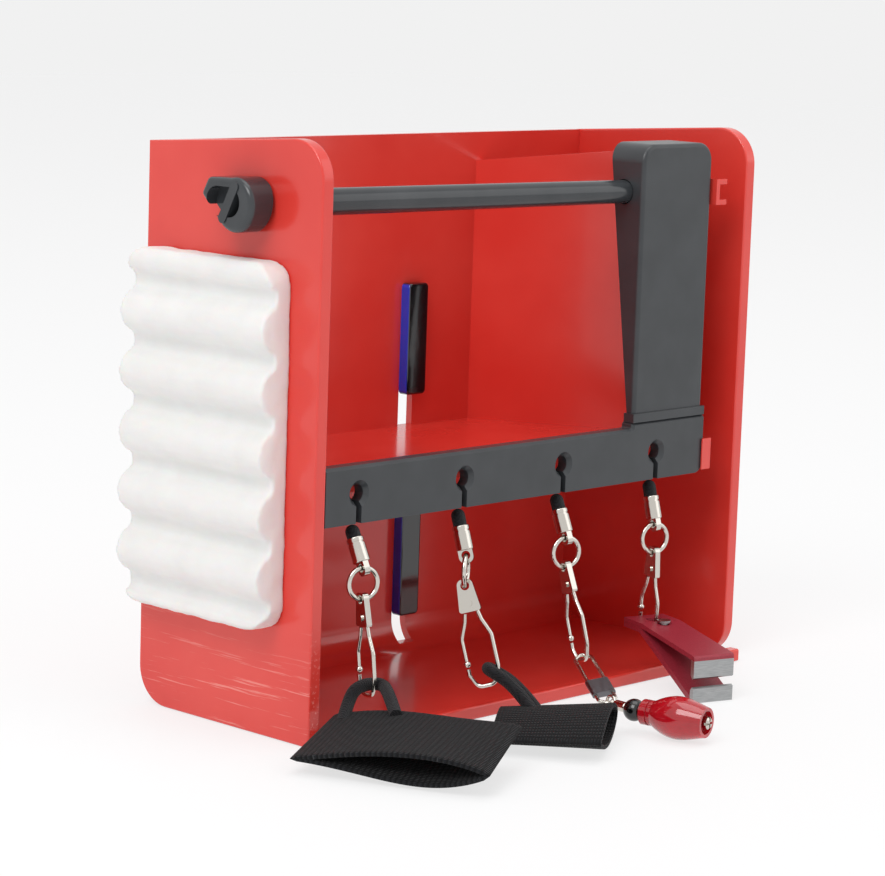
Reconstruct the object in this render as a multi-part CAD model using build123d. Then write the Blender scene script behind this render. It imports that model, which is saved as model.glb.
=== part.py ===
from build123d import *
import os
from math import cos, radians, sin, tan

# An open-fronted caddy for fly-tying thread and small tools, in millimetres.
# X runs to the right along the front, Y runs to the back, Z is up.
# The origin is the centre of the footprint of the two side panels.

# Box
box_width = 166.0
box_depth = 64.0
box_height = 150.0
back_drop = 4.5          # how much lower the back is than the front
panel_thick = 3.7
corner_radius = 10.0
left_toe_radius = 2.0    # the left panel's front foot is nearly sharp
panel_arris = 0.5
sheet_thick = 2.1        # back wall and floor
lip_reach = 5.5          # how far the floor stands out in front
lip_height = 3.5
lip_length = 3.2

# Shelf and divider
shelf_top = 64.6
shelf_thick = 2.6
shelf_notch = 14.0       # the shelf stops short in front of the pocket
divider_thick = 2.1
divider_back_x = 37.0
divider_lean = 27.8      # degrees away from straight forward, to the right
divider_back_height = 137.3
divider_rise = 0.133     # rise of its top edge per millimetre forward

# Grey front frame: a bar with keyholes, and a column on its right end
bar_bottom = 54.8
bar_top = 69.4
bar_seat = 71.0          # the bar's higher end under the column
bar_thick = 4.0
bar_right = 65.5
bar_arris = 0.8
column_width = 30.0
column_top = 146.0
column_depth_top = 12.4
column_depth_foot = 3.5
foot_height = 2.4
foot_step = 0.5
keyhole_first = -67.8
keyhole_pitch = 37.83
keyhole_height = 62.3
keyhole_radius = 2.3
keyhole_sink = 1.1       # countersink around the hole
keyhole_slot = 1.9

# Spindle for thread spools
spindle_height = 132.5
spindle_rise = 0.5
spindle_panel_depth = 23.0    # behind the front plane, at the left panel
spindle_column_depth = 7.4    # behind the front plane, at the column
spindle_radius_knob = 3.55
spindle_radius_tip = 3.15
spindle_engage = 10.0
spindle_clear = 0.2
knob_hub_radius = 6.8
knob_thick = 8.0
knob_reach = 12.0
knob_stand = 0.3
knob_ridge_turn = 118
knob_relief_turns = (22.5, 45.0, 67.5, 90.0)

# Foam patch for hooks, on the outside of the left panel
foam_bottom = 28.0
foam_top = 119.2
foam_front = 10.1        # behind the front plane
foam_length = 53.0
foam_crest = 9.5
foam_valley = 4.6
foam_shoulder = 6.6
foam_pitch = 15.4
foam_first_valley = 8.6
foam_valley_half = 2.6
foam_grooves = 6
foam_corner = 6.0

# Slots in the back wall and the black strap keepers in them
slot_left = 7.7
slot_width = 5.4
upper_slot_top = 98.0
lower_slot_bottom = 3.4
lower_slot_top = 40.0
slot_bend_reach = 8.0
keeper_width = 7.7
keeper_thick = 3.0
keeper_height = 31.0
keeper_corner = 1.3
keeper_clear = 0.5
upper_keeper_bottom = 73.5
lower_keeper_bottom = 11.0
tongue_height = 12.0

# Lanyards
pivot_height = 52.4
sleeve_radius = 1.8
cord_radius = 0.75
knot_radius = 3.1
ferrule_radius = 2.2
ferrule_length = 6.4
tongue_thick = 1.5
tongue_length = 3.4
eye_radius = 1.15
ring_radius = 4.0
ring_wire = 0.65
clip_wire = 0.55
clip_half_width = 3.9
gate_wire = 0.5
gate_ball = 0.95
head_height = 6.8
head_thick = 1.5
rivet_radius = 0.9
seat_gap = 0.3

# Webbing straps
web_thick = 1.3
strap_cord_radius = 1.6

# Nippers
nipper_width = 12.6
nipper_thick = 1.3
nipper_jaw_thick = 1.5

# Screwdriver-like bulb tool
tool_radius = 5.5
tool_neck_radius = 3.3
tool_length = 18.5

front = -box_depth / 2
back = box_depth / 2
left = -box_width / 2
right = box_width / 2
inner_left = left + panel_thick
inner_right = right - panel_thick
wall_face = back - sheet_thick
bar_back = front + bar_thick
column_left = bar_right - column_width

# Link between clip 3 and the bulb tool
link_wire_radius = 0.5
link_half_width = 2.3
link_length = 23.0
link_low = Vector(-3.0, -60.5, 5.0)
link_sleeve_length = 6.4
link_sleeve_from = 13.0
tool_axis = Vector(0.2, -0.98, 0).normalized()
tool_neck = Vector(-5.2, -73.5, tool_radius + 0.1)
tool_ball_radius = 2.9
swivel_eye = 1.9
swivel_wire = 0.4
swivel_radius = 1.35
tool_nose_radius = 3.0
tool_nose_depth = 1.8
tool_tip_radius = 1.6

# Nippers: two arms that part in front of a tail with an eye
nipper_front = Vector(35.6, -63.6, 0.0)
nipper_axis = Vector(-0.30, -0.954, 0).normalized()
nipper_length = 35.6
nipper_tail_low = 13.6
nipper_tail_top = 16.2
nipper_split = 8.8
nipper_pivot = 10.2
nipper_front_top = 12.7
nipper_jaw_gap_low = 4.3
nipper_jaw_gap_high = 6.4
nipper_eye_radius = 2.5
nipper_eye_at = 5.9
nipper_pin_radius = 1.2


def block(x0, x1, y0, y1, z0, z1):
    """A box between two corners."""
    return Pos((x0 + x1) / 2, (y0 + y1) / 2, (z0 + z1) / 2) * Box(x1 - x0, y1 - y0, z1 - z0)


def rod_between(a, b, radius, end_radius=None):
    """A round bar, or a taper, from point a to point b."""
    a, b = Vector(*a), Vector(*b)
    length = (b - a).length
    place = Plane(origin=a, z_dir=b - a).location
    low = (Align.CENTER, Align.CENTER, Align.MIN)
    if end_radius is None:
        return place * Cylinder(radius, length, align=low)
    return place * Cone(radius, end_radius, length, align=low)


def fillet_radii(points):
    """Corner radii as large as the two runs at each corner allow."""
    radii = []
    for a, b, c in zip(points, points[1:], points[2:]):
        first, second = Vector(*b) - Vector(*a), Vector(*c) - Vector(*b)
        half_turn = radians(first.get_angle(second)) / 2
        radii.append(0.45 * min(first.length, second.length) / tan(half_turn))
    return radii


def tube(points, radius, radii=None):
    """A round wire or cord along straight runs joined by tangent arcs."""
    path = FilletPolyline(*points, radius=radii or fillet_radii(points))
    section = Plane(origin=path @ 0, z_dir=path % 0) * Circle(radius)
    return sweep(section, path=path)


def rounded_face(points, radii):
    """A closed outline with a fillet of its own at each corner; 0 leaves it sharp."""
    face = make_face(Polyline(*points, close=True))
    for (u, v), radius in zip(points, radii):
        if radius:
            corner = face.vertices().sort_by_distance((u, v, 0))[0]
            face = fillet(corner, radius)
    return face


def save(name, solid):
    export_step(solid, f"parts/{name}.step")


def side_panel(x0, toe_radius):
    outline = rounded_face(
        [(front, 0), (back, 0), (back, box_height - back_drop), (front, box_height)],
        [toe_radius, corner_radius, 0, corner_radius])
    panel = Pos(x0, 0, 0) * extrude(Plane.YZ * outline, panel_thick)
    rims = panel.edges().group_by(Axis.X)
    return fillet(rims[0] + rims[-1], panel_arris)


def spindle_point(x):
    """The spindle's axis where it crosses the plane at x."""
    share = (x - left) / (column_left - left)
    y = front + spindle_panel_depth + share * (spindle_column_depth - spindle_panel_depth)
    return (x, y, spindle_height + share * spindle_rise)


def spindle_radius(x):
    share = (x - left) / (column_left - left)
    return spindle_radius_knob + share * (spindle_radius_tip - spindle_radius_knob)


def spindle_bore(x0, x1):
    """The clearance hole for the spindle between two planes."""
    radius = max(spindle_radius(x0), spindle_radius(x1)) + spindle_clear
    return rod_between(spindle_point(x0), spindle_point(x1), radius)


def left_side_panel():
    return side_panel(left, left_toe_radius) - spindle_bore(left - 1, inner_left + 1)


def right_side_panel():
    return side_panel(inner_right, corner_radius)


def back_and_floor():
    bend = corner_radius - sheet_thick
    lip = front - lip_reach
    top = box_height - back_drop
    outline = rounded_face(
        [(lip, 0), (back, 0), (back, top), (wall_face, top), (wall_face, sheet_thick),
         (lip + lip_length + 1.4, sheet_thick), (lip + lip_length, lip_height), (lip, lip_height)],
        [0.6, corner_radius, 0, 0, bend, 1.0, 0.6, 0.6])
    sheet = Pos(inner_left, 0, 0) * extrude(Plane.YZ * outline, inner_right - inner_left)
    x0, x1 = slot_left, slot_left + slot_width
    slot_round = slot_width / 2
    for low, high in ((shelf_top, upper_slot_top), (lower_slot_bottom, lower_slot_top)):
        sheet -= block(x0, x1, back - slot_bend_reach, back + 1, low, high - slot_round)
        sheet -= rod_between((x0 + slot_round, back - slot_bend_reach, high - slot_round),
                             (x0 + slot_round, back + 1, high - slot_round), slot_round)
    return sheet


def shelf():
    plate = block(inner_left, inner_right, bar_back, wall_face, shelf_top - shelf_thick, shelf_top)
    arm = bar_right + 0.2
    plate -= block(arm + 1.4, box_width, front - 1, front + shelf_notch, 0, box_height)
    catch = block(arm, arm + 1.4, front - 0.6, bar_back + 4, 55.6, shelf_top - 0.4)
    hook = block(arm - 0.9, arm + 2.7, front - 0.6, front - 0.2, 55.6, shelf_top - 0.4)
    ribs = [block(arm + 1.4, arm + 2.2, front + 0.4, front + 3.4, z, z + 0.8)
            for z in (57.0, 59.0, 61.0)]
    return plate + [catch, hook] + ribs


def column_back(z):
    """How far back the column reaches at a height."""
    share = (z - bar_seat) / (column_top - bar_seat)
    return front + column_depth_foot + share * (column_depth_top - column_depth_foot)


def divider_panel():
    forward = Vector(sin(radians(divider_lean)), -cos(radians(divider_lean)), 0)
    start = Vector(divider_back_x, wall_face, shelf_top) - forward * 3
    place = Plane(origin=start, x_dir=forward, z_dir=Vector(0, 0, 1).cross(forward))

    def run(y):
        """Distance along the panel from its start to the depth y."""
        return (start.Y - y) / cos(radians(divider_lean))

    def face_point(length, z):
        return (length, -(z - shelf_top)) if place.y_dir.Z < 0 else (length, z - shelf_top)

    top_front = divider_back_height + divider_rise * (wall_face - column_back(column_top))
    outline = make_face(Polyline(
        face_point(0, shelf_top), face_point(run(column_back(bar_seat) + 1.0), shelf_top),
        face_point(run(column_back(column_top) + 1.0), top_front),
        face_point(0, divider_back_height), close=True))
    panel = extrude(place * outline, divider_thick / 2, both=True)
    panel -= block(0, box_width, wall_face, back + 9, 0, box_height)
    arm = bar_right + 0.3
    root = column_back(132.0) + 0.6
    panel += block(arm, arm + 1.4, front - 0.6, root + 2.4, 129.0, 136.0)
    panel += block(arm - 3.4, arm + 1.4, root, root + 2.4, 129.0, 136.0)
    panel += block(arm + 1.4, arm + 4.4, front - 0.6, front + 0.8, 134.6, 136.0)
    panel += block(arm + 1.4, arm + 4.4, front - 0.6, front + 0.8, 129.0, 130.4)
    return panel


def keyhole_centres():
    return [keyhole_first + n * keyhole_pitch for n in range(4)]


def lanyard_bar():
    outline = rounded_face(
        [(inner_left, bar_bottom), (bar_right, bar_bottom), (bar_right, bar_seat),
         (column_left, bar_seat), (column_left, bar_top), (inner_left, bar_top)],
        [0, 3.0, 0, 0.8, 0.6, 0])
    bar = Pos(0, bar_back, 0) * extrude(Plane.XZ * outline, bar_thick)
    top_edge = bar.edges().filter_by(Axis.X).group_by(Axis.Y)[0].sort_by(Edge.length)[-2:]
    bar = chamfer(top_edge.sort_by(Axis.Z)[-1], bar_arris)
    for x in keyhole_centres():
        hole_front = (x, front - 1, keyhole_height)
        bar -= rod_between(hole_front, (x, bar_back + 1, keyhole_height), keyhole_radius)
        sink = (x, front + keyhole_sink, keyhole_height)
        bar -= rod_between((x, front - 0.01, keyhole_height), sink,
                           keyhole_radius + keyhole_sink, keyhole_radius)
        bar -= block(x - keyhole_slot / 2, x + keyhole_slot / 2, front - 1, bar_back + 1,
                     bar_bottom - 1, keyhole_height)
    return bar


def spindle_column():
    body = make_face(Polyline(
        (front + foot_step, bar_seat + foot_height), (column_back(bar_seat) - foot_step, bar_seat + foot_height),
        (column_back(column_top), column_top), (front + foot_step, column_top), close=True))
    column = Pos(column_left + foot_step, 0, 0) * extrude(Plane.YZ * body, column_width - 2 * foot_step)
    top_edges = column.edges().group_by(Axis.Z)[-1]
    column = fillet(top_edges.filter_by(Axis.Y), 5.0)
    column = fillet(column.edges().group_by(Axis.Y)[0].filter_by(Axis.Z), 1.2)
    column += block(column_left, bar_right, front, column_back(bar_seat), bar_seat, bar_seat + foot_height)
    return column - spindle_bore(column_left - 1, column_left + spindle_engage + 0.5)


def spindle_rod():
    x0, x1 = left - knob_stand - 2.0, column_left + spindle_engage
    return rod_between(spindle_point(x0), spindle_point(x1), spindle_radius(x0), spindle_radius(x1))


def spindle_knob():
    _, y, z = spindle_point(left)
    hub = Pos(0, y, z) * (Plane.YZ * Circle(knob_hub_radius))
    wing = rounded_face(
        [(0, knob_hub_radius - 0.1), (knob_reach - 2.4, knob_hub_radius - 0.5), (knob_reach, 2.0),
         (knob_reach - 7.5, -5.2), (0, -knob_hub_radius + 0.1)], [0, 1.6, 1.4, 3.0, 0])
    outline = hub + Pos(0, y, z) * (Plane.YZ * wing)
    outer = left - knob_stand - knob_thick
    knob = Pos(outer, 0, 0) * extrude(outline, knob_thick)
    knob = fillet(knob.edges().group_by(Axis.X)[0], 1.4)
    recess = Pos(0, y + 3.6, z + 0.6) * (Plane.YZ * SlotOverall(12.0, 7.4))
    knob -= Pos(outer - 1, 0, 0) * extrude(recess, 1 + 3.4)
    ridge = Pos(0, y + 1.4, z + 0.6) * (Plane.YZ * (Rot(0, 0, knob_ridge_turn) * SlotOverall(11.6, 2.6)))
    knob += Pos(outer - 0.3, 0, 0) * extrude(ridge, 4.2)
    # The spindle leans to the panel, so the turned knob needs its underside cut back to clear it
    spin = Axis(spindle_point(left - knob_stand), Vector(*spindle_point(left)) - spindle_point(left - knob_stand))
    wall = block(left - knob_stand, left + 20, y - 30, y + 30, z - 30, z + 30)
    for turn in knob_relief_turns:
        knob -= wall.rotate(spin, -turn)
    x0, x1 = left - knob_stand - 2.4, left + 1
    return knob - rod_between(spindle_point(x0), spindle_point(x1), spindle_radius_knob + 0.05)


def foam_patch():
    """A ripple of crests and valleys, cut to a patch with rounded corners."""
    def out(t):
        return left - t

    valleys = [foam_top - foam_first_valley - n * foam_pitch for n in range(foam_grooves)]
    lines = [Line((left, foam_top), (out(foam_shoulder), foam_top))]
    here = (out(foam_shoulder), foam_top)
    for n, z in enumerate(valleys):
        shoulder = (out(foam_shoulder), z + foam_valley_half)
        middle = (here[1] + shoulder[1]) / 2
        swell = foam_crest if n else foam_shoulder + 1.2
        lines.append(ThreePointArc(here, (out(swell), middle), shoulder))
        here = (out(foam_shoulder), z - foam_valley_half)
        lines.append(ThreePointArc(shoulder, (out(foam_valley), z), here))
    foot = (out(foam_shoulder), foam_bottom)
    lines.append(ThreePointArc(here, (out(foam_shoulder + 0.9), (here[1] + foam_bottom) / 2), foot))
    lines += [Line(foot, (left, foam_bottom)), Line((left, foam_bottom), (left, foam_top))]
    y0 = front + foam_front
    ripple = Pos(0, y0 + foam_length, 0) * extrude(Plane.XZ * make_face(Curve() + lines), foam_length)
    patch = Pos(0, y0 + foam_length / 2, (foam_top + foam_bottom) / 2) * (
        Plane.YZ * RectangleRounded(foam_length, foam_top - foam_bottom, foam_corner))
    return ripple & (Pos(left - 20, 0, 0) * extrude(patch, 20))


def strap_keeper(bottom):
    x0, y1 = slot_left, wall_face
    bar = block(x0, x0 + keeper_width, y1 - keeper_thick, y1, bottom, bottom + keeper_height)
    bar = fillet(bar.edges().filter_by(Axis.Y), keeper_corner)
    bar = fillet(bar.edges().group_by(Axis.Y)[0], 0.6)
    middle = bottom + keeper_height / 2
    tongue = block(x0 + keeper_clear, x0 + slot_width - keeper_clear, y1, back,
                   middle - tongue_height / 2, middle + tongue_height / 2)
    return bar + tongue


class Lanyard:
    """Places on one lanyard, which hangs in the plane of its keyhole."""

    def __init__(self, number, sleeve, cord_lean, clip_lean, ring_turn, clip_turn, clip_length_own):
        self.number = number
        self.x = keyhole_centres()[number - 1]
        self.y = front + bar_thick / 2
        self.sleeve = sleeve
        self.cord_lean = cord_lean
        self.clip_lean = clip_lean
        self.ring_turn = ring_turn
        self.clip_turn = clip_turn
        self.clip_length = clip_length_own

    def cord_frame(self):
        """Z points up along the leaning cord; the origin is the pivot."""
        return Pos(self.x, self.y, pivot_height) * Rot(-self.cord_lean, 0, 0)

    def eye_distance(self):
        return self.sleeve + ferrule_length + tongue_length - eye_radius - 0.9

    def ring_centre(self):
        lean = radians(self.cord_lean)
        reach = self.eye_distance()
        return (self.x, self.y - reach * sin(lean), pivot_height - reach * cos(lean) - ring_radius)

    def ring_frame(self):
        """X lies in the ring's plane."""
        return Pos(*self.ring_centre()) * Rot(0, 0, self.ring_turn)

    def clip_frame(self):
        """The origin is the clip's eye, Z points up along the leaning clip, X is across it."""
        x, y, z = self.ring_centre()
        return Pos(x, y, z - ring_radius) * Rot(-self.clip_lean, 0, 0) * Rot(0, 0, self.clip_turn)

    def clip_bottom(self):
        """The middle of the wire at the clip's lower end."""
        return (self.clip_frame() * Pos(0, 0, -self.clip_length)).position


lanyards = [
    Lanyard(1, 1.6, 27, 7, -16, -106, 24.0),
    Lanyard(2, 2.6, 19, 20, 36, -54, 26.0),
    Lanyard(3, 2.4, 23, 17, -16, -106, 25.0),
    Lanyard(4, 2.6, 15, -3, -16, -106, 22.5),
]


def cord_knot(lanyard):
    """The knot behind the bar and the cord from it down through the keyhole's slot."""
    x, y = lanyard.x, lanyard.y
    knot_y = bar_back + knot_radius - 0.3
    knot_z = shelf_top - shelf_thick - knot_radius - seat_gap
    knot = Pos(x, knot_y, knot_z) * Sphere(knot_radius)
    knot -= block(x - 9, x + 9, y - 9, bar_back, 0, box_height)
    path = [(x, knot_y, knot_z), (x, y, knot_z), (x, y, pivot_height + sleeve_radius + seat_gap)]
    return knot + tube(path, cord_radius, [1.6])


def cord_sleeve(lanyard):
    body = Pos(0, 0, -lanyard.sleeve / 2) * Cylinder(sleeve_radius, lanyard.sleeve)
    dome = Sphere(sleeve_radius) - Pos(0, 0, -9) * Cylinder(9, 18)
    return lanyard.cord_frame() * (body + dome)


def ferrule(lanyard):
    """A rolled tube that grips the cord, with a flat eye below it."""
    top = -lanyard.sleeve
    barrel = Pos(0, 0, top - ferrule_length / 2) * Cylinder(ferrule_radius, ferrule_length)
    barrel = fillet(barrel.edges().filter_by(GeomType.CIRCLE), 0.3)
    barrel -= Pos(0, 0, top - 1.4) * (Cylinder(ferrule_radius + 1, 0.5) - Cylinder(ferrule_radius - 0.25, 0.5))
    low = top - ferrule_length
    tongue = Pos(0, 0, low - tongue_length / 2 + 0.4) * Box(
        tongue_thick, 2 * ferrule_radius - 0.6, tongue_length + 0.8)
    tongue = fillet(tongue.edges().filter_by(Axis.X).group_by(Axis.Z)[0], 1.7)
    eye = Rot(0, 90, 0) * Cylinder(eye_radius, 9)
    piece = barrel + tongue - Pos(0, 0, -lanyard.eye_distance()) * eye
    turn = Rot(0, 0, lanyard.ring_turn)
    return lanyard.cord_frame() * turn * piece


def split_ring(lanyard):
    ring = Torus(ring_radius, ring_wire)
    return lanyard.ring_frame() * Rot(90, 0, 0) * ring


def clip_head(lanyard):
    """The stamped head, which holds the ends of the clip's wire."""
    half = 2.9
    outline = rounded_face([(-1.9, 1.7), (1.9, 1.7), (half, -head_height), (-half, -head_height)],
                           [1.5, 1.5, 0.7, 0.7])
    plate = extrude(Plane.XZ * outline, head_thick / 2, both=True)
    plate -= Rot(90, 0, 0) * Cylinder(eye_radius, 9)
    rivet = Pos(0, 0, -head_height + 2.2) * Rot(90, 0, 0) * Cylinder(rivet_radius, head_thick + 0.8)
    return lanyard.clip_frame() * (plate + rivet)


def clip_wire_loop(lanyard):
    """The long side and the hooked lower end of the clip."""
    bottom = -lanyard.clip_length
    half = clip_half_width
    path = [(1.7, 0, -head_height - 0.1), (2.2, 0, -head_height - 2.4), (half, 0, -head_height - 6.5),
            (half, 0, bottom + 4.2), (half - 1.6, 0, bottom), (-half + 1.6, 0, bottom),
            (-half, 0, bottom + 3.2), (-half, 0, bottom + 4.9)]
    return lanyard.clip_frame() * tube(path, clip_wire, [2.0, 3.0, 4.0, 2.2, 2.2, 1.6])


def clip_gate(lanyard):
    """The sprung side, with a small ball that closes on the hook."""
    bottom = -lanyard.clip_length
    half = clip_half_width
    ball_z = bottom + 4.9 + gate_ball + 0.35
    path = [(-1.7, 0, -head_height - seat_gap), (-2.2, 0, -head_height - 2.4),
            (-half, 0, -head_height - 6.5), (-half, 0, ball_z)]
    wire = tube(path, gate_wire, [2.0, 3.0])
    return lanyard.clip_frame() * (wire + Pos(-half, 0, ball_z) * Sphere(gate_ball))


class WebLoop:
    """A flattened loop of webbing: two layers that part in the middle and meet at both folds.

    The far edge runs from start to end, and across leads over the webbing to its near edge.
    """

    def __init__(self, start, end, across, swell):
        self.start = Vector(*start)
        self.along = Vector(*end) - self.start
        self.across = Vector(*across)
        self.swell = swell
        self.place = Plane(origin=self.start, x_dir=self.along, z_dir=self.across)
        self.up = 1 if self.place.y_dir.Z > 0 else -1

    def point(self, share, depth, height):
        """A place on the loop: a share of its length, mm from its far edge, mm above its middle."""
        return (self.start + self.along * share + self.across.normalized() * depth
                + self.place.y_dir * (self.up * height))

    def solid(self):
        length = self.along.length
        half = self.swell / 2
        lens = Curve() + [ThreePointArc((0, 0), (length / 2, half), (length, 0)),
                          ThreePointArc((length, 0), (length / 2, -half), (0, 0))]
        face = make_face(lens)
        hollow = offset(face, -web_thick)
        return extrude(self.place * (face - hollow), self.across.length, dir=self.across)


strap_1_loop = WebLoop((-77.0, -35.4, 8.2), (-55.6, -77.6, 10.2), (-25.4, -11.0, -4.7), 7.0)
strap_2_loop = WebLoop((-28.4, -46.6, 3.9), (-51.4, -63.6, 3.3), (19.0, -19.6, 0.0), 6.4)


def strap_1_cord():
    """Sewn into the strap, up through clip 1 and back down."""
    clip, low = lanyards[0].clip_frame(), -lanyards[0].clip_length
    before = (clip * Pos(0.9, -3.6, low + 2.9)).position
    after = (clip * Pos(0.9, 3.6, low + 2.9)).position
    path = [strap_1_loop.point(0.07, 4, 0), strap_1_loop.point(0.05, -2.0, 2.6), before, after,
            strap_1_loop.point(0.26, -4.6, 4.6), strap_1_loop.point(0.36, 3.5, 2.6)]
    return cord("strap_1_cord", path)


def strap_2_cord():
    """Sewn into the strap, round the lower wire of clip 2 and back."""
    clip, low = lanyards[1].clip_frame(), -lanyards[1].clip_length
    near = [(clip * Pos(*p)).position for p in ((7.4, -3.1, low - 1.6), (1.2, -3.3, low + 4.2))]
    far = [(clip * Pos(*p)).position for p in ((1.2, 3.3, low + 4.2), (7.4, 3.1, low - 1.6))]
    path = [strap_2_loop.point(0.34, 9.0, 2.2)] + near + far + [strap_2_loop.point(0.10, 9.0, 1.4)]
    return cord("strap_2_cord", path)


def cord(name, points):
    radii = fillet_radii(points)
    print(name, "radii", [round(r, 1) for r in radii])
    return tube(points, strap_cord_radius, radii)


def link_plane():
    """X runs down the link from the middle of its upper bar, Y across it."""
    clip, low = lanyards[2].clip_frame(), -lanyards[2].clip_length
    top = (clip * Pos(0, 0, low + clip_wire + link_wire_radius + 0.25)).position
    along = link_low - top
    across = Vector(0.80, -0.58, 0.15)
    return Plane(origin=top, x_dir=along, z_dir=along.cross(across)), along.length


def link_wire():
    """A long loop of wire whose ends meet inside the sleeve."""
    plane, length = link_plane()
    w, start = link_half_width, link_sleeve_from + 3
    path = [(start, w), (length - 1.6, w), (length, w - 1.7), (length, 1.7 - w), (length - 1.6, -w),
            (1.6, -w), (0, 1.7 - w), (0, w - 1.7), (1.6, w), (start - 0.4, w)]
    points = [plane.from_local_coords(Vector(u, v, 0)) for u, v in path]
    return tube(points, link_wire_radius, [0.75] * 8)


def link_sleeve():
    plane, _ = link_plane()
    width = 2 * (link_half_width + link_wire_radius + 0.35)
    middle = link_sleeve_from + link_sleeve_length / 2
    sheet = Box(link_sleeve_length, width, 2 * link_wire_radius + 0.7)
    sheet = fillet(sheet.edges().filter_by(Axis.X), 0.7)
    return plane.location * Pos(middle, 0, 0) * sheet


def swivel_line():
    ball = tool_neck - tool_axis * 2.3
    return ball, (ball - link_low).normalized(), (ball - link_low).length


def swivel():
    ball, along, length = swivel_line()
    eye_centre = link_low + along * (swivel_eye - swivel_wire - link_wire_radius - 0.1)
    eye = Plane(origin=eye_centre, x_dir=along, z_dir=Vector(0, 0, 1).cross(along)).location
    start = link_low + along * 3.0
    barrel = rod_between(start, link_low + along * (length - tool_ball_radius - 0.25), swivel_radius)
    return eye * Torus(swivel_eye, swivel_wire) + fillet(barrel.edges().filter_by(GeomType.CIRCLE), 0.5)


def tool_ball():
    ball, _, _ = swivel_line()
    return Pos(*ball) * Sphere(tool_ball_radius) - tool_place() * Pos(0, 0, 20) * Cylinder(9, 40)


def tool_place():
    """Z runs along the bulb tool from its neck to its nose."""
    return Plane(origin=tool_neck, z_dir=tool_axis, x_dir=(0, 0, 1)).location


def tool_body():
    length, r, neck = tool_length, tool_radius, tool_neck_radius
    outline = Curve() + [
        Line((0, 0), (neck - 0.5, 0)), Line((neck - 0.5, 0), (neck, 0.5)), Line((neck, 0.5), (neck, 3.6)),
        Spline((neck, 3.6), (r - 0.9, 6.2), (r, 10.2), (r - 0.5, 14.2), (r - 1.6, length)),
        Line((r - 1.6, length), (tool_nose_radius, length)),
        Line((tool_nose_radius, length), (tool_nose_radius, length - tool_nose_depth)),
        Line((tool_nose_radius, length - tool_nose_depth), (0, length - tool_nose_depth)),
        Line((0, length - tool_nose_depth), (0, 0))]
    body = revolve(Plane.XZ * make_face(outline), Axis.Z)
    groove = Pos(0, 0, 2.6) * (Cylinder(neck + 1, 0.6) - Cylinder(neck - 0.3, 0.6))
    return tool_place() * (body - groove)


def tool_tip():
    """A slotted steel tip in the nose's recess."""
    length = tool_nose_depth + 0.9
    tip = Pos(0, 0, tool_length - tool_nose_depth + length / 2) * Cylinder(tool_tip_radius, length)
    tip = chamfer(tip.edges().group_by(Axis.Z)[-1], 0.35)
    slot = Pos(0, 0, tool_length + 0.9) * (Box(4, 0.6, 1.6) + Box(0.6, 4, 1.6))
    return tool_place() * (tip - slot)


def nipper_strip(points, width=nipper_width):
    """A profile along the nippers and up, as wide as the nippers."""
    rear = nipper_front - nipper_axis * nipper_length
    place = Plane(origin=rear, x_dir=nipper_axis, z_dir=nipper_axis.cross(Vector(0, 0, 1)))
    return extrude(place * make_face(Polyline(*points, close=True)), width / 2, both=True)


def nipper_drill(solid, at, radius):
    point = nipper_front - nipper_axis * (nipper_length - at)
    return solid - Pos(point.X, point.Y, 15) * Cylinder(radius, 8)


def nipper_upper_underside(s):
    slope = (nipper_front_top - nipper_thick - nipper_tail_top + nipper_thick) / (nipper_length - nipper_split)
    return nipper_tail_top - nipper_thick + slope * (s - nipper_split)


def nipper_upper_arm():
    end = nipper_length
    arm = nipper_strip([
        (0, nipper_tail_top), (nipper_split, nipper_tail_top), (end - 0.5, nipper_front_top),
        (end, nipper_front_top - 0.5), (end, nipper_upper_underside(end)),
        (nipper_split, nipper_tail_top - nipper_thick), (0, nipper_tail_top - nipper_thick)])
    arm = nipper_drill(arm, nipper_eye_at, nipper_eye_radius)
    return nipper_drill(arm, nipper_pivot, nipper_pin_radius + 0.3)


def nipper_lower_top(s):
    """Height of the lower arm's upper face."""
    top = nipper_tail_top - nipper_thick - 0.05
    low = 1.75
    return top + (low - top) * (s - nipper_split) / (nipper_length - nipper_jaw_thick - nipper_split)


def nipper_lower_arm():
    end = nipper_length - nipper_jaw_thick
    top = nipper_tail_top - nipper_thick - 0.05
    arm = nipper_strip([
        (0, nipper_tail_low), (nipper_split - 1, nipper_tail_low), (end - 0.4, 0.2), (end, 0.1),
        (end, nipper_lower_top(end)), (nipper_split, top), (0, top)])
    arm = nipper_drill(arm, nipper_eye_at, nipper_eye_radius)
    return nipper_drill(arm, nipper_pivot, nipper_pin_radius)


def nipper_upper_jaw():
    back_face, end = nipper_length - nipper_jaw_thick, nipper_length
    return nipper_strip([
        (back_face, nipper_upper_underside(back_face)), (end, nipper_upper_underside(end)),
        (end, nipper_jaw_gap_high + 0.4), (end - 0.6, nipper_jaw_gap_high), (back_face, nipper_jaw_gap_high + 1.0)])


def nipper_lower_jaw():
    back_face, end = nipper_length - nipper_jaw_thick, nipper_length
    jaw = nipper_strip([
        (back_face, 0), (end, 0), (end, nipper_jaw_gap_low - 0.4), (end - 0.6, nipper_jaw_gap_low),
        (back_face, nipper_jaw_gap_low - 1.0)])
    return jaw


def nipper_pin():
    point = nipper_front - nipper_axis * (nipper_length - nipper_pivot)
    low, high = nipper_lower_top(nipper_pivot) - 1.6, nipper_tail_top + 0.3
    shaft = Pos(point.X, point.Y, (low + high) / 2) * Cylinder(nipper_pin_radius, high - low)
    cap = Pos(point.X, point.Y, high + 0.2) * Cylinder(nipper_pin_radius + 0.7, 0.6)
    return shaft + cap


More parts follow.
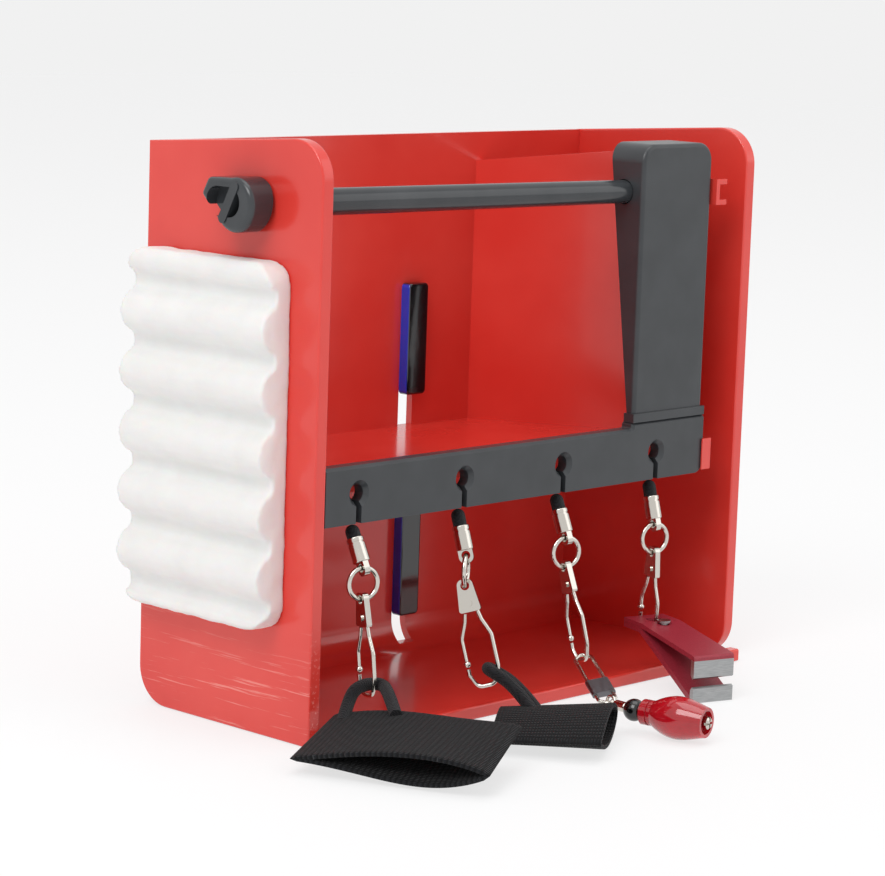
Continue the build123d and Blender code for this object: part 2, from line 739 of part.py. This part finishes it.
os.makedirs("parts", exist_ok=True)
save("left_side_panel", left_side_panel())
save("right_side_panel", right_side_panel())
save("back_and_floor", back_and_floor())
save("shelf", shelf())
save("divider_panel", divider_panel())
save("lanyard_bar", lanyard_bar())
save("spindle_column", spindle_column())
save("spindle_rod", spindle_rod())
save("spindle_knob", spindle_knob())
save("foam_patch", foam_patch())
save("upper_strap_keeper", strap_keeper(upper_keeper_bottom))
save("lower_strap_keeper", strap_keeper(lower_keeper_bottom))
for lanyard in lanyards:
    save(f"cord_knot_{lanyard.number}", cord_knot(lanyard))
    save(f"cord_sleeve_{lanyard.number}", cord_sleeve(lanyard))
    save(f"ferrule_{lanyard.number}", ferrule(lanyard))
    save(f"split_ring_{lanyard.number}", split_ring(lanyard))
    save(f"clip_head_{lanyard.number}", clip_head(lanyard))
    save(f"clip_wire_{lanyard.number}", clip_wire_loop(lanyard))
    save(f"clip_gate_{lanyard.number}", clip_gate(lanyard))
    place = lanyard.clip_frame()
    print("clip", lanyard.number, "gate", (place * Pos(-1.7, 0, -head_height)).position,
          "axis", ((place * Pos(0, -1, 0)).position - place.position),
          "loop", (place * Pos(0, 0, -head_height - 9.0)).position)
save("strap_1", strap_1_loop.solid())
save("strap_2", strap_2_loop.solid())
save("strap_1_cord", strap_1_cord())
save("strap_2_cord", strap_2_cord())
save("link_wire", link_wire())
save("link_sleeve", link_sleeve())
save("swivel", swivel())
save("tool_ball", tool_ball())
save("tool_body", tool_body())
save("tool_tip", tool_tip())
save("nipper_upper_arm", nipper_upper_arm())
save("nipper_lower_arm", nipper_lower_arm())
save("nipper_upper_jaw", nipper_upper_jaw())
save("nipper_lower_jaw", nipper_lower_jaw())
save("nipper_pin", nipper_pin())
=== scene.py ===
import bpy
from math import pi, radians, sin
from mathutils import Matrix, Vector


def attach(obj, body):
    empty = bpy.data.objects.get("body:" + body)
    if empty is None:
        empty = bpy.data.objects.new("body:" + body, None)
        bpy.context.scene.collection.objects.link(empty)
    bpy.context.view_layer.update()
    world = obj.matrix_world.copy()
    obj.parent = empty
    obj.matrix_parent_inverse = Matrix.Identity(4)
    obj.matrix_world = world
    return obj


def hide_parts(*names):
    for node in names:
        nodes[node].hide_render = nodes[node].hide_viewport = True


# Open red caddy with a spool spindle, foam patch and four lanyards, on a pale table
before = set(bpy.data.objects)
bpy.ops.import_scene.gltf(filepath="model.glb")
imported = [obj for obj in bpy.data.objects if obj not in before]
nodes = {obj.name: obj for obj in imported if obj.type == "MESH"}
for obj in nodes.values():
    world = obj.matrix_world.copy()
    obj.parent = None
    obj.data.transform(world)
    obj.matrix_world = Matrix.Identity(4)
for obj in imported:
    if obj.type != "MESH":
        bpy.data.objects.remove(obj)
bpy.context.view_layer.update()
print("frame loaded:", len(nodes), "nodes")

# The camera stands where the photograph was taken from
camera = {
    "place": (-0.5991, -0.5676, 0.1950),
    "yaw": 46.29,      # degrees to the right of straight back
    "pitch": -8.9,
    "roll": 1.95,
    "lens": 126.25, "sensor": 36,    # mm
    "near": 0.01,
}


def makeCamera():
    bpy.ops.object.camera_add()
    cam = bpy.context.object
    turn = Matrix.Rotation(radians(-camera["yaw"]), 4, "Z")
    tilt = Matrix.Rotation(radians(90 + camera["pitch"]), 4, "X")
    roll = Matrix.Rotation(radians(camera["roll"]), 4, "Z")
    cam.matrix_world = Matrix.Translation(camera["place"]) @ turn @ tilt @ roll
    cam.data.sensor_fit = "HORIZONTAL"
    cam.data.sensor_width = camera["sensor"]
    cam.data.lens = camera["lens"]
    cam.data.clip_start = camera["near"]
    bpy.context.scene.camera = cam
    print("camera placed")


makeCamera()


def selectOnly(piece):
    bpy.ops.object.select_all(action="DESELECT")
    piece.select_set(True)
    bpy.context.view_layer.objects.active = piece


def applyModifier(piece, kind, **settings):
    selectOnly(piece)
    modifier = piece.modifiers.new(kind.title(), kind)
    for key, value in settings.items():
        setattr(modifier, key, value)
    bpy.ops.object.modifier_apply(modifier=modifier.name)


def mergePoints(piece, distance=0.00001):
    selectOnly(piece)
    bpy.ops.object.mode_set(mode="EDIT")
    bpy.ops.mesh.select_all(action="SELECT")
    bpy.ops.mesh.remove_doubles(threshold=distance)
    bpy.ops.mesh.normals_make_consistent(inside=False)
    bpy.ops.object.mode_set(mode="OBJECT")


# Cords through clips 1 and 2, sewn into the straps at both ends: points in metres
cordShape = {"steps": 16, "roundness": 6, "smoothAngle": 60, "mergeAt": 0.000001}   # angle in degrees
strapCords = {
    "strapCordOne": {
        "node": "strap_1_cord", "body": "lanyard_1", "diameter": 0.0032, "length": 0.0329,
        "route": [(-0.07912, -0.03992, 0.00767), (-0.07455, -0.03682, 0.0112), (-0.07151, -0.03669, 0.01511),
                  (-0.06459, -0.03866, 0.01535), (-0.06804, -0.04474, 0.01402), (-0.07289, -0.05206, 0.0109)],
    },
    "strapCordTwo": {
        "node": "strap_2_cord", "body": "lanyard_2", "diameter": 0.0032, "length": 0.0395,
        "route": [(-0.02999, -0.05887, 0.0059), (-0.02813, -0.05015, 0.01135), (-0.03193, -0.04356, 0.01512),
                  (-0.02659, -0.03992, 0.0138), (-0.02311, -0.04672, 0.0101), (-0.02446, -0.05478, 0.00524)],
    },
}


def shapedMesh(holder):
    bpy.context.view_layer.update()
    shaped = holder.evaluated_get(bpy.context.evaluated_depsgraph_get())
    return bpy.data.meshes.new_from_object(shaped)


def makeStrapCord(name):
    cord = strapCords[name]
    curve = bpy.data.curves.new(name, "CURVE")
    curve.dimensions = "3D"
    spline = curve.splines.new("NURBS")
    spline.points.add(len(cord["route"]) - 1)
    for point, place in zip(spline.points, cord["route"]):
        point.co = (*place, 1)
    spline.order_u = 3
    spline.use_endpoint_u = True
    spline.resolution_u = cordShape["steps"]
    holder = bpy.data.objects.new(name + "Route", curve)
    bpy.context.scene.collection.objects.link(holder)
    line = shapedMesh(holder)
    curve.bevel_depth = cord["diameter"] / 2
    curve.bevel_resolution = cordShape["roundness"]
    curve.use_fill_caps = True
    piece = bpy.data.objects.new(name, shapedMesh(holder))
    bpy.context.scene.collection.objects.link(piece)
    bpy.data.objects.remove(holder)
    mergePoints(piece, cordShape["mergeAt"])
    bpy.ops.object.shade_smooth_by_angle(angle=radians(cordShape["smoothAngle"]))
    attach(piece, cord["body"])
    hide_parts(cord["node"])
    print(name, "laid")


for cordName in strapCords:
    makeStrapCord(cordName)


def linear(hexText):
    # sRGB hex to the linear values that the shaders take
    parts = [int(hexText[i:i + 2], 16) / 255 for i in (1, 3, 5)]
    return [p / 12.92 if p <= 0.04045 else ((p + 0.055) / 1.055) ** 2.4 for p in parts] + [1.0]


def addNode(mat, kind, inputs=None, **settings):
    # a node with its settings; an input takes a value, or another node's output
    node = mat.node_tree.nodes.new(kind)
    for key, value in settings.items():
        setattr(node, key, value)
    for key, value in (inputs or {}).items():
        if isinstance(value, bpy.types.NodeSocket):
            mat.node_tree.links.new(value, node.inputs[key])
        else:
            node.inputs[key].default_value = value
    return node


def newMaterial(name, colour, roughness, metallic=0.0, **sockets):
    mat = bpy.data.materials.new(name)
    mat.use_nodes = True
    shader = mat.node_tree.nodes["Principled BSDF"]
    shader.inputs["Base Color"].default_value = linear(colour)
    shader.inputs["Roughness"].default_value = roughness
    shader.inputs["Metallic"].default_value = metallic
    for key, value in sockets.items():
        shader.inputs[key.replace("_", " ")].default_value = value
    return mat, shader


def link(mat, output, socket):
    mat.node_tree.links.new(output, socket)


def objectPoints(mat, scale=(1, 1, 1)):
    # Object coordinates in millimetres, stretched by scale
    coords = addNode(mat, "ShaderNodeTexCoord")
    size = [1000 * s for s in scale]
    return addNode(mat, "ShaderNodeMapping",
                   {"Vector": coords.outputs["Object"], "Scale": size}).outputs["Vector"]


def noise(mat, vector, scale, detail=2.0, roughness=0.5):
    return addNode(mat, "ShaderNodeTexNoise",
                   {"Vector": vector, "Scale": scale, "Detail": detail, "Roughness": roughness}).outputs["Fac"]


def ramp(mat, fac, low, high, lowColour="#000000", highColour="#ffffff"):
    node = addNode(mat, "ShaderNodeValToRGB", {"Fac": fac})
    node.color_ramp.elements[0].position = low
    node.color_ramp.elements[1].position = high
    node.color_ramp.elements[0].color = linear(lowColour)
    node.color_ramp.elements[1].color = linear(highColour)
    return node.outputs["Color"]


def bump(mat, shader, height, strength, millimetres):
    node = addNode(mat, "ShaderNodeBump",
                   {"Height": height, "Strength": strength, "Distance": millimetres / 1000})
    link(mat, node.outputs["Normal"], shader.inputs["Normal"])


def mapRange(mat, value, low=0.0, high=1.0, start=0.0, end=1.0):
    # start..end coming in goes out as low..high
    return addNode(mat, "ShaderNodeMapRange", {"Value": value, "From Min": start, "From Max": end,
                                               "To Min": low, "To Max": high}).outputs["Result"]


def maths(mat, operation, first, second):
    return addNode(mat, "ShaderNodeMath", {0: first, 1: second}, operation=operation).outputs[0]


def mixColours(mat, factor, first, second):
    return addNode(mat, "ShaderNodeMix", {"Factor": factor, "A": first, "B": second},
                   data_type="RGBA").outputs["Result"]


scuffs = {
    "slant": -28,                  # degrees
    "stretch": (1, 0.035, 1.0),    # noise drawn out along each scratch
    "low": 0.57, "high": 0.66,     # how much of the noise is scratch
    "fadeFrom": 32, "fadeTo": 12,  # mm above the table
    "strength": 0.55, "tone": "#f5a79c",
}


def makeRedSheet(name, scuffed):
    # extruded red styrene sheet, heat bent: half gloss, very slightly uneven, pale at scuffs
    mat, shader = newMaterial(name, "#e03f36", 0.2, Specular_IOR_Level=0.5, Coat_Weight=0.25,
                              Coat_Roughness=0.08)
    points = objectPoints(mat)
    cloud = noise(mat, points, 0.03, 3)
    colour = ramp(mat, cloud, 0.3, 0.7, "#dc382f", "#e4463c")
    wave = noise(mat, points, 0.12, 1)
    if scuffed:
        tilted = addNode(mat, "ShaderNodeMapping",
                         {"Vector": points, "Rotation": (radians(scuffs["slant"]), 0, 0),
                          "Scale": scuffs["stretch"]}).outputs["Vector"]
        hair = ramp(mat, noise(mat, tilted, 1.0, 4, 0.65), scuffs["low"], scuffs["high"])
        height = addNode(mat, "ShaderNodeSeparateXYZ", {"Vector": points}).outputs["Z"]
        low = mapRange(mat, height, start=scuffs["fadeFrom"], end=scuffs["fadeTo"])
        faint = maths(mat, "MULTIPLY", maths(mat, "MULTIPLY", hair, low), scuffs["strength"])
        colour = mixColours(mat, faint, colour, linear(scuffs["tone"]))
    link(mat, colour, shader.inputs["Base Color"])
    bump(mat, shader, wave, 0.05, 0.4)
    return mat


def makeGreyMoulding(name, satin, glossy):
    # charcoal ABS: satin with a fine grain from a spark-eroded mould, or glossy from a polished one
    mat, shader = newMaterial(name, "#36393c", satin, Specular_IOR_Level=0.5)
    points = objectPoints(mat)
    tone = ramp(mat, noise(mat, points, 0.09, 3), 0.3, 0.75, "#313437", "#3b3e41")
    link(mat, tone, shader.inputs["Base Color"])
    grain = noise(mat, points, 3.2, 2, 0.6)
    sheen = mapRange(mat, noise(mat, points, 0.4, 2), glossy, satin)
    link(mat, sheen, shader.inputs["Roughness"])
    bump(mat, shader, grain, 0.35 * satin, 0.12)
    return mat


def makeFoam():
    # white foam, cut to a ripple: matt, soft edged, with fine pores on the cut face
    mat, shader = newMaterial("whiteCutFoam", "#f3f2ef", 0.95, Specular_IOR_Level=0.15,
                              Subsurface_Weight=0.2, Subsurface_Scale=0.004)
    points = objectPoints(mat)
    tone = ramp(mat, noise(mat, points, 0.1, 3, 0.5), 0.2, 0.8, "#e9e8e6", "#f0efed")
    link(mat, tone, shader.inputs["Base Color"])
    bump(mat, shader, noise(mat, points, 1.5, 3, 0.6), 0.28, 0.25)
    return mat


def makeKeeperPlastic():
    # polished black strip, with a painted blue reflection on its left side
    mat, shader = newMaterial("blackGlossStrip", "#0b0c10", 0.08, Coat_Weight=0.5, Coat_Roughness=0.03)
    coords = addNode(mat, "ShaderNodeTexCoord")
    side = addNode(mat, "ShaderNodeSeparateXYZ", {"Vector": coords.outputs["Normal"]})
    # painted reflection: faces turned towards -X are coloured blue as if lit by blue light
    blueLitSide = mapRange(mat, side.outputs["X"], start=-0.5, end=-0.9)
    tone = mixColours(mat, blueLitSide, linear("#0b0c10"), linear("#1b45d8"))
    link(mat, tone, shader.inputs["Base Color"])
    bump(mat, shader, noise(mat, objectPoints(mat), 0.3, 1), 0.04, 0.3)
    return mat


def makeBead():
    # polished black bead: glossy, very slightly worn
    mat, shader = newMaterial("blackBead", "#0a0a0b", 0.12, Coat_Weight=0.4, Coat_Roughness=0.05)
    points = objectPoints(mat)
    wear = mapRange(mat, noise(mat, points, 1.2), 0.08, 0.25)
    link(mat, wear, shader.inputs["Roughness"])
    return mat


def makeCord():
    # polyester braid: crossing diagonals about 0.35 mm apart
    mat, shader = newMaterial("braidedBlackCord", "#101012", 0.8, Specular_IOR_Level=0.3, Sheen_Weight=0.1,
                              Sheen_Roughness=0.45)
    points = objectPoints(mat)
    waves = []
    for turn in (38, -38):
        tilted = addNode(mat, "ShaderNodeMapping",
                         {"Vector": points, "Rotation": (radians(turn), radians(turn), 0)})
        waves.append(addNode(mat, "ShaderNodeTexWave", {"Vector": tilted.outputs["Vector"], "Scale": 0.9,
                                                        "Distortion": 0.6}, wave_profile="SIN").outputs["Fac"])
    weave = maths(mat, "MAXIMUM", waves[0], waves[1])
    link(mat, ramp(mat, weave, 0.3, 0.95, "#060608", "#1b1b1f"), shader.inputs["Base Color"])
    bump(mat, shader, weave, 0.7, 0.35)
    return mat


def makeWebbing():
    # black elastic webbing: ribs 1.3 mm apart across it, with pale flecks that are painted glints of light
    mat, shader = newMaterial("ribbedBlackWebbing", "#121316", 0.85, Specular_IOR_Level=0.25, Sheen_Weight=0.06,
                              Sheen_Roughness=0.5)
    uv = addNode(mat, "ShaderNodeUVMap", uv_map="weave").outputs["UV"]
    ribs = addNode(mat, "ShaderNodeTexWave", {"Vector": uv, "Scale": 0.24, "Distortion": 1.4, "Detail": 2.0,
                                              "Detail Scale": 2.2}, bands_direction="X").outputs["Fac"]
    across = addNode(mat, "ShaderNodeTexWave", {"Vector": uv, "Scale": 0.42, "Distortion": 1.0},
                     bands_direction="Y").outputs["Fac"]
    thread = maths(mat, "MULTIPLY", ribs, across)
    base = ramp(mat, thread, 0.05, 0.8, "#050507", "#17181c")
    # painted highlight: pale specks mixed into the colour stand in for glints of light on the weave
    paintedGlint = ramp(mat, noise(mat, uv, 1.9, 2, 0.7), 0.68, 0.74)
    faint = maths(mat, "MULTIPLY", paintedGlint, 0.22)
    link(mat, mixColours(mat, faint, base, linear("#8d8f94")), shader.inputs["Base Color"])
    bump(mat, shader, thread, 0.9, 0.4)
    return mat


def makeNickel(name, colour, roughness):
    # nickel plate over steel wire and stampings, bright or dull, with a little tarnish
    mat, shader = newMaterial(name, colour, roughness, 1.0)
    points = objectPoints(mat)
    tarnish = mapRange(mat, noise(mat, points, 0.7, 3), roughness * 0.7, roughness * 1.6)
    link(mat, tarnish, shader.inputs["Roughness"])
    bump(mat, shader, noise(mat, points, 1.4, 2), 0.05, 0.2)
    return mat


def makeToolPlastic():
    # tinted red acrylic: clear gloss skin over a deep colour
    mat, shader = newMaterial("deepRedAcrylic", "#b51220", 0.1, Coat_Weight=0.6, Coat_Roughness=0.05,
                              Subsurface_Weight=0.25, Subsurface_Scale=0.003)
    shader.inputs["Subsurface Radius"].default_value = (1.0, 0.15, 0.1)
    points = objectPoints(mat)
    tone = ramp(mat, noise(mat, points, 0.12, 2), 0.3, 0.7, "#a80f1c", "#c21a27")
    link(mat, tone, shader.inputs["Base Color"])
    bump(mat, shader, noise(mat, points, 0.25, 1), 0.05, 0.4)
    return mat


def makeNipperCoat():
    # dull red powder coat on spring steel, slightly grainy
    mat, shader = newMaterial("dullRedPowderCoat", "#982836", 0.42, Specular_IOR_Level=0.5)
    points = objectPoints(mat)
    grain = noise(mat, points, 2.2, 3, 0.7)
    link(mat, ramp(mat, grain, 0.25, 0.8, "#8a1f2d", "#a63343"), shader.inputs["Base Color"])
    bump(mat, shader, grain, 0.2, 0.15)
    return mat


def makeGroundSteel():
    # hardened steel, ground across the jaws: fine streaks
    mat, shader = newMaterial("groundSteel", "#a3a5a6", 0.32, 1.0)
    points = objectPoints(mat, (0.25, 0.25, 4.0))
    streak = noise(mat, points, 1.2, 4, 0.7)
    link(mat, ramp(mat, streak, 0.2, 0.85, "#8b8d8e", "#bcbdbd"), shader.inputs["Base Color"])
    bump(mat, shader, streak, 0.15, 0.1)
    return mat


finishes = {
    "redSheet": makeRedSheet("redStyrene", False),
    "redScuffed": makeRedSheet("redStyreneScuffed", True),
    "grey": makeGreyMoulding("charcoalSatinAbs", 0.4, 0.28),
    "greyGloss": makeGreyMoulding("charcoalGlossAbs", 0.2, 0.12),
    "foam": makeFoam(),
    "keeper": makeKeeperPlastic(),
    "cord": makeCord(),
    "bead": makeBead(),
    "webbing": makeWebbing(),
    "nickel": makeNickel("brightNickel", "#cfcac2", 0.14),
    "sleeve": makeNickel("dullNickel", "#77767a", 0.32),
    "tool": makeToolPlastic(),
    "nipper": makeNipperCoat(),
    "steel": makeGroundSteel(),
}
print("materials made:", len(finishes))


def paint(finish, *names):
    for name in names:
        mesh = nodes[name].data
        mesh.materials.clear()
        mesh.materials.append(finishes[finish])


def numbered(*stems):
    return [f"{stem}_{n}" for stem in stems for n in range(1, 5)]


paint("redSheet", "right_side_panel", "back_and_floor", "shelf", "divider_panel")
paint("redScuffed", "left_side_panel")
paint("grey", "lanyard_bar", "spindle_column")
paint("greyGloss", "spindle_rod", "spindle_knob")
paint("keeper", "upper_strap_keeper", "lower_strap_keeper")
paint("bead", "tool_ball")
paint("cord", *numbered("cord_knot", "cord_sleeve"))
paint("nickel", *numbered("ferrule", "split_ring", "clip_head", "clip_wire", "clip_gate"))
paint("nickel", "link_wire", "swivel", "tool_tip")
paint("sleeve", "link_sleeve")
paint("tool", "tool_body")
paint("nipper", "nipper_upper_arm", "nipper_lower_arm")
paint("steel", "nipper_upper_jaw", "nipper_lower_jaw", "nipper_pin")
for name in strapCords:
    bpy.data.objects[name].data.materials.append(finishes["cord"])
print("CAD pieces painted")


def copyOfNode(name, newName):
    piece = bpy.data.objects.new(newName, nodes[name].data.copy())
    bpy.context.scene.collection.objects.link(piece)
    mergePoints(piece)
    return piece


def finishPiece(piece, finish, body, node):
    piece.data.materials.clear()
    piece.data.materials.append(finishes[finish])
    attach(piece, body)
    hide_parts(node)


foam = {"voxel": 0.0007, "smoothing": 2, "softness": 0.5, "lumps": 0.0005, "lumpSize": 0.005}   # metres


def makeFoamPatch():
    piece = copyOfNode("foam_patch", "foamPad")
    applyModifier(piece, "REMESH", mode="VOXEL", voxel_size=foam["voxel"])
    applyModifier(piece, "SMOOTH", factor=foam["softness"], iterations=foam["smoothing"])
    lumps = bpy.data.textures.new("foamLumps", "CLOUDS")
    lumps.noise_scale = foam["lumpSize"]
    applyModifier(piece, "DISPLACE", texture=lumps, strength=foam["lumps"], mid_level=0.5)
    selectOnly(piece)
    bpy.ops.object.shade_smooth()
    finishPiece(piece, "foam", "cabinet", "foam_patch")
    print("foam patch:", len(piece.data.vertices), "points")


makeFoamPatch()


straps = {
    "strapOne": {
        "node": "strap_1", "body": "lanyard_1",
        "start": (-77.0, -35.4, 8.4), "end": (-55.6, -77.6, 10.4), "across": (-25.4, -11.0, -4.7),
        "nearStart": (0.0, 0.0, 0.0), "nearEnd": (-1.5, -3.5, 0.0),
        "swellFar": 3.2, "swellNear": 7.4, "lean": 1.6, "sag": 1.4, "flat": (0.028, 0.106),
    },
    "strapTwo": {
        "node": "strap_2", "body": "lanyard_2",
        "start": (-28.4, -46.6, 3.9), "end": (-51.4, -63.6, 3.3), "across": (19.0, -19.6, 0.0),
        "nearStart": (-1.5, -4.0, 1.8), "nearEnd": (-5.0, -4.5, 1.8),
        "swellFar": 5.0, "swellNear": 8.4, "lean": 0.8, "sag": 0.4, "flat": (0.0275, 0.0675),
    },
}
webbing = {
    "thick": 1.1, "edge": 0.3,             # mm
    "around": 72, "over": 22,              # steps round the loop and across it
    "fullness": 0.8,                       # under 1 the loop opens sooner at its ends
    "sagAbove": 0.6, "sagBelow": 0.3,      # share of the sag in each layer
    "sagLoss": 0.5,                        # how much of the sag is gone at the near edge
    "crease": 50,                          # degrees
}


def loopPoint(strap, around, over):
    # around goes 0..1 out along the top layer and 1..2 back along the lower one
    start, end, across = (Vector(strap[k]) for k in ("start", "end", "across"))
    along = end - start
    up = across.cross(along).normalized()
    up = up if up.z > 0 else -up
    share = around if around <= 1 else 2 - around
    swell = strap["swellFar"] + (strap["swellNear"] - strap["swellFar"]) * over
    height = 0.5 * swell * sin(pi * share ** strap["lean"]) ** webbing["fullness"]
    sag = strap["sag"] * sin(2 * pi * share) * (1 - webbing["sagLoss"] * over)
    side = 1 if around <= 1 else -1
    fan = Vector(strap["nearStart"]).lerp(Vector(strap["nearEnd"]), share)
    place = start + along * share + (across + fan) * over
    return place + up * (side * height + sag * webbing["sagAbove" if side > 0 else "sagBelow"])


def makeStrap(name):
    strap = straps[name]
    steps, rows = webbing["around"], webbing["over"]
    points, faces = [], []
    for i in range(steps):
        for j in range(rows + 1):
            points.append(loopPoint(strap, 2 * i / steps, j / rows) / 1000)
    for i in range(steps):
        for j in range(rows):
            a, b = i * (rows + 1) + j, ((i + 1) % steps) * (rows + 1) + j
            faces.append((a, b, b + 1, a + 1))
    mesh = bpy.data.meshes.new(name)
    mesh.from_pydata(points, [], faces)
    piece = bpy.data.objects.new(name, mesh)
    bpy.context.scene.collection.objects.link(piece)
    weave = mesh.uv_layers.new(name="weave")
    length = 2 * (Vector(strap["end"]) - Vector(strap["start"])).length
    width = Vector(strap["across"]).length
    for face in mesh.polygons:
        i, j = divmod(face.index, rows)
        corners = [(i, j), (i + 1, j), (i + 1, j + 1), (i, j + 1)]
        for loop, (u, v) in zip(face.loop_indices, corners):
            weave.data[loop].uv = (length * u / steps, width * v / rows)   # millimetres of cloth
    applyModifier(piece, "SOLIDIFY", thickness=webbing["thick"] / 1000, offset=0)
    crease = radians(webbing["crease"])
    applyModifier(piece, "BEVEL", width=webbing["edge"] / 1000, segments=1, angle_limit=crease)
    selectOnly(piece)
    bpy.ops.object.shade_smooth_by_angle(angle=crease)
    finishPiece(piece, "webbing", strap["body"], strap["node"])
    print(name, "made")


for strapName in straps:
    makeStrap(strapName)


# Table and light
stage = {
    "floor": 6.0, "drop": 0.0002, "floorTone": "#f7f7f8", "backTone": "#ffffff",
    "glow": 0.71,        # share of plain white that the eye sees in the table
    "backGlow": 0.88,    # background as the eye sees it
    "roomLight": 0.55,   # background as a light on the object
}


def seenDirectly(tree):
    # 1 for what the camera sees, also in metal or glass
    path = addNode(tree, "ShaderNodeLightPath")
    shiny = maths(tree, "MAXIMUM", path.outputs["Is Transmission Ray"], path.outputs["Is Glossy Ray"])
    return maths(tree, "MAXIMUM", path.outputs["Is Camera Ray"], shiny)


def makeStage():
    bpy.ops.mesh.primitive_plane_add(size=stage["floor"], location=(0, 0, -stage["drop"]))
    floor = bpy.context.object
    floor.name = "tableTop"
    mat, shader = newMaterial("whiteTable", stage["floorTone"], 0.55, Specular_IOR_Level=0.2)
    part = maths(mat, "MULTIPLY", seenDirectly(mat), stage["glow"])
    glow = addNode(mat, "ShaderNodeEmission", {"Color": (1, 1, 1, 1), "Strength": 1.0})
    mix = addNode(mat, "ShaderNodeMixShader",
                  {0: part, 1: shader.outputs["BSDF"], 2: glow.outputs["Emission"]})
    link(mat, mix.outputs[0], mat.node_tree.nodes["Material Output"].inputs["Surface"])
    floor.data.materials.append(mat)
    world = bpy.data.worlds.new("studio")
    bpy.context.scene.world = world
    world.use_nodes = True
    strength = mapRange(world, seenDirectly(world), stage["roomLight"], stage["backGlow"])
    back = world.node_tree.nodes["Background"]
    back.inputs["Color"].default_value = linear(stage["backTone"])
    link(world, strength, back.inputs["Strength"])
    print("stage set")


lampAim = (0, 0, 0.06)
lamps = {
    "key": {"place": (-1.05, -0.35, 1.2), "size": 0.8, "power": 10.0},
    "fill": {"place": (0.9, -1.3, 0.9), "size": 1.4, "power": 5.0},
    "top": {"place": (0.1, -0.1, 1.8), "size": 1.2, "power": 8.0},
}


def makeLamps():
    for name, lamp in lamps.items():
        bpy.ops.object.light_add(type="AREA", location=lamp["place"])
        light = bpy.context.object
        light.name = name + "Lamp"
        light.data.size = lamp["size"]
        light.data.energy = lamp["power"]
        aim = Vector(lampAim) - light.location
        light.rotation_euler = aim.to_track_quat("-Z", "Y").to_euler()
    print("lamps lit")


makeStage()
makeLamps()
bpy.context.scene.view_settings.view_transform = "Standard"

bpy.context.view_layer.update()
